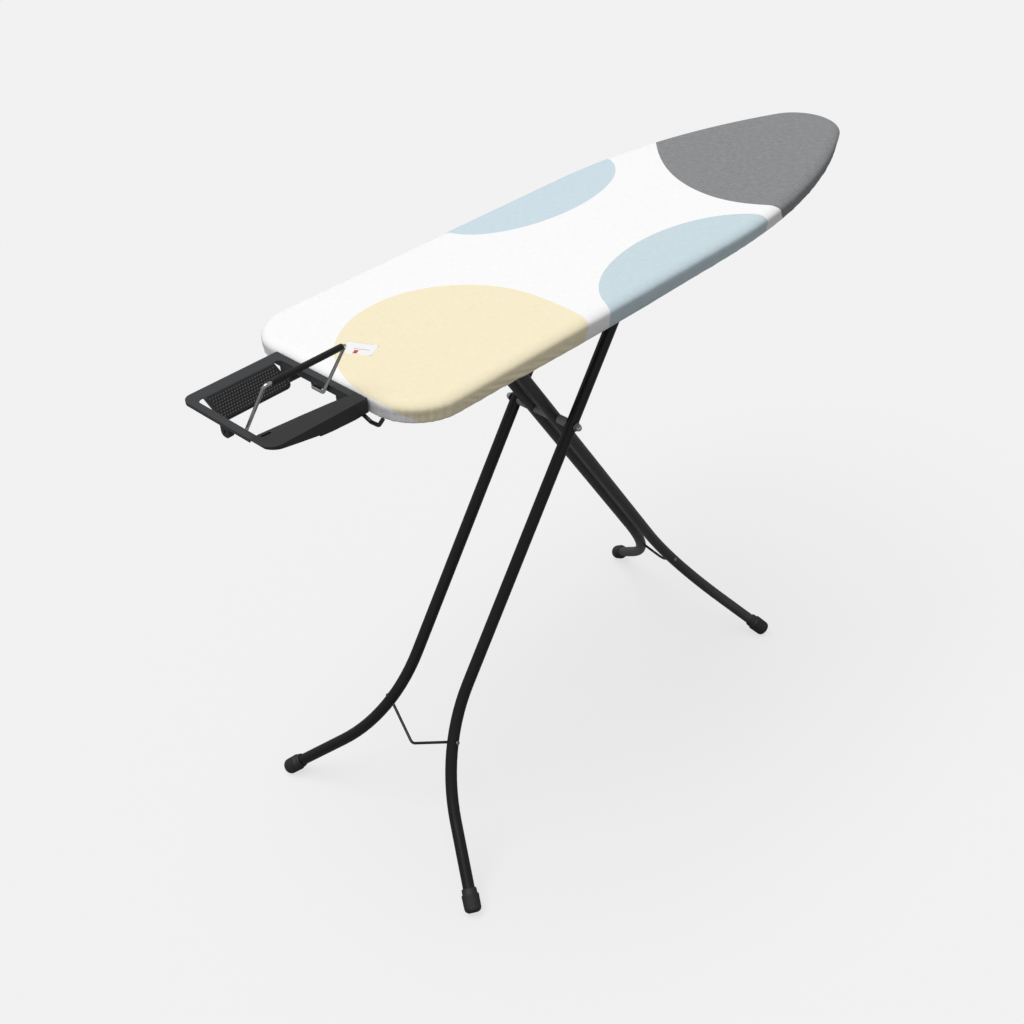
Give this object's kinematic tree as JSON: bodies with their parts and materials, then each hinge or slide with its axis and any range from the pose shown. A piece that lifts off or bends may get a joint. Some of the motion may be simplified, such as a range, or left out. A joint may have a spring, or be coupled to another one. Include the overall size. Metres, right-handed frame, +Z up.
{
  "type": "ironing board",
  "caption": "Folding ironing board with a printed padded cover, a tapered nose, crossed tube legs with splayed feet, a height lever and a wire-bail iron rest.",
  "frame": {"origin": "on the floor, under the middle of the whole object's footprint", "axes": "+X from the square end to the nose, +Y to the left side, +Z up"},
  "size_m": [1.422, 0.5205, 1.0653],
  "materials": {
    "printed_cotton": "printed woven cotton cover",
    "foam": "open-cell foam",
    "felt": "needled felt",
    "elastic": "braided elastic",
    "label": "woven label",
    "deck_steel": "powder-coated steel",
    "zinc_steel": "zinc-plated steel",
    "screw_steel": "zinc-plated steel",
    "spring_steel": "spring steel",
    "rest_paint": "satin dark grey powder coat",
    "rest_plastic": "moulded nylon",
    "silicone": "moulded silicone",
    "black_wire": "black coated wire",
    "grey_tube": "satin dark grey powder coat",
    "black_tube": "satin black powder coat",
    "black_plastic": "moulded nylon",
    "grey_plastic": "moulded nylon",
    "foot_rubber": "moulded rubber",
    "chrome": "bright plated"
  },
  "bodies": {
    "board": {"cover": "printed_cotton", "foam_pad": "foam", "felt_underlay": "felt", "hem_elastic": "elastic", "care_label": "label", "deck_mesh": "deck_steel", "rim": "deck_steel", "strap_rear": "zinc_steel", "strap_hinge": "zinc_steel", "strap_rail_rear": "zinc_steel", "strap_rail_mid": "zinc_steel", "strap_rail_nose": "zinc_steel", "rail_left": "zinc_steel", "rail_right": "zinc_steel", "rail_screws": "screw_steel", "hinge_bracket_left": "zinc_steel", "hinge_bracket_right": "zinc_steel", "hinge_pin": "screw_steel", "hinge_pin_clip": "screw_steel", "lever_brackets": "zinc_steel", "lever_spring": "spring_steel", "rest_tray": "rest_paint", "rest_beam": "rest_plastic", "rest_grip_pad": "silicone", "rest_arm_left": "rest_paint", "rest_arm_right": "rest_paint", "rest_screws": "screw_steel", "cord_hook": "black_wire", "bail_clip_outer": "rest_plastic", "bail_clip_inner": "rest_plastic"},
    "inner_legs": {"inner_tube_left": "grey_tube", "inner_tube_right": "grey_tube", "inner_tube_plugs": "black_plastic", "inner_brace": "black_wire", "inner_brace_rivets": "screw_steel", "inner_foot_left": "foot_rubber", "inner_foot_right": "foot_rubber", "spacer_centre": "grey_plastic"},
    "outer_legs": {"outer_tube_left": "black_tube", "outer_tube_right": "black_tube", "outer_tube_plugs": "black_plastic", "outer_brace": "black_wire", "outer_brace_rivets": "screw_steel", "outer_foot_left": "foot_rubber", "outer_foot_right": "foot_rubber", "spacer_left": "grey_plastic", "spacer_right": "grey_plastic", "axle": "screw_steel", "axle_washers": "screw_steel", "axle_nut_left": "chrome", "axle_nut_right": "chrome", "crossbar": "zinc_steel", "roller_left": "black_plastic", "roller_right": "black_plastic"},
    "height_lever": {"lever_shaft": "zinc_steel", "height_comb": "zinc_steel", "lever_grip": "black_plastic"},
    "rest_bail": {"bail_wire": "chrome", "bail_sleeve": "silicone"}
  },
  "joints": [
    {"name": "leg_fold", "type": "hinge", "parent": "board", "child": "inner_legs", "pos_m": [-0.253, 0, 0.945], "axis": [0, -1, 0], "range_deg": [0, 54.85]},
    {"name": "scissor_pivot", "type": "hinge", "parent": "inner_legs", "child": "outer_legs", "pos_m": [-0.08622, 0, 0.68964], "axis": [0, 1, 0], "range_deg": [0, 107.85]},
    {"name": "lever_squeeze", "type": "hinge", "parent": "board", "child": "height_lever", "pos_m": [0.063, -0.128, 0.93], "axis": [-1, 0, 0], "range_deg": [0, 20], "stiffness_Nm_per_rad": 0.6, "springref_deg": -20.05},
    {"name": "bail_fold", "type": "hinge", "parent": "board", "child": "rest_bail", "pos_m": [-0.627, 0.004, 0.96], "axis": [-1, 0, 0], "range_deg": [0, 119]}
  ],
  "couplings": [
    {"joint": "scissor_pivot", "follows": "leg_fold", "ratio": 1.9658}
  ]
}
